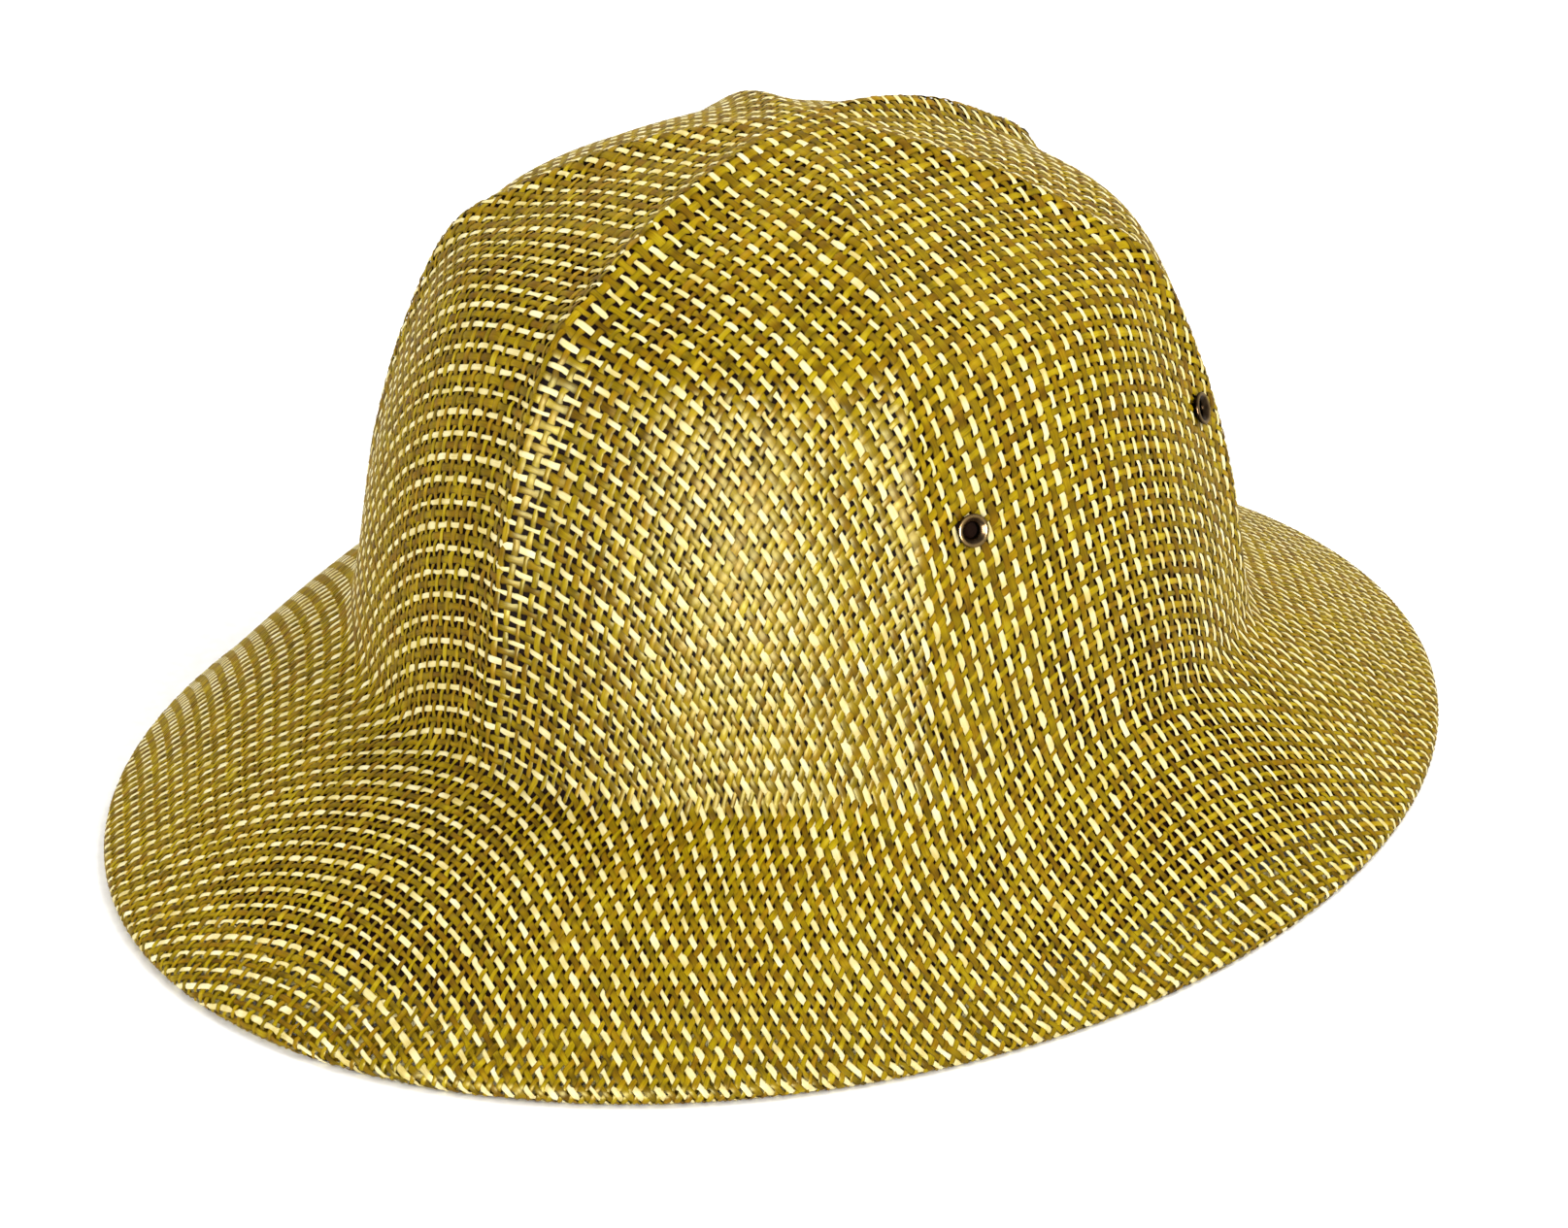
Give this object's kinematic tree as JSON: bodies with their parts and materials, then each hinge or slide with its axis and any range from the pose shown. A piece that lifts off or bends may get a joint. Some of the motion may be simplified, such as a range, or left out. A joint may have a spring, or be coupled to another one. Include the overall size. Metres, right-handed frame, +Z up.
{
  "type": "woven straw sun helmet for beekeeping",
  "caption": "Pith-style sun helmet pressed in one piece from two-tone woven straw, with a ribbed crown, a sloping oval brim with a turned-down rim and brass vent eyelets.",
  "frame": {"origin": "middle of the oval rim, in the plane that the rim rests on", "axes": "+Z up to the crown's apex, front of the helmet towards -Y, the wearer's left side towards +X"},
  "size_m": [0.273, 0.34, 0.1544],
  "materials": {
    "straw": "lacquered woven straw, olive gold and cream",
    "brass": "antiqued"
  },
  "bodies": {
    "root": {"shell": "straw", "eyelet_right_front": "brass", "eyelet_right_rear": "brass", "eyelet_left_rear": "brass", "eyelet_left_front": "brass"}
  },
  "joints": []
}
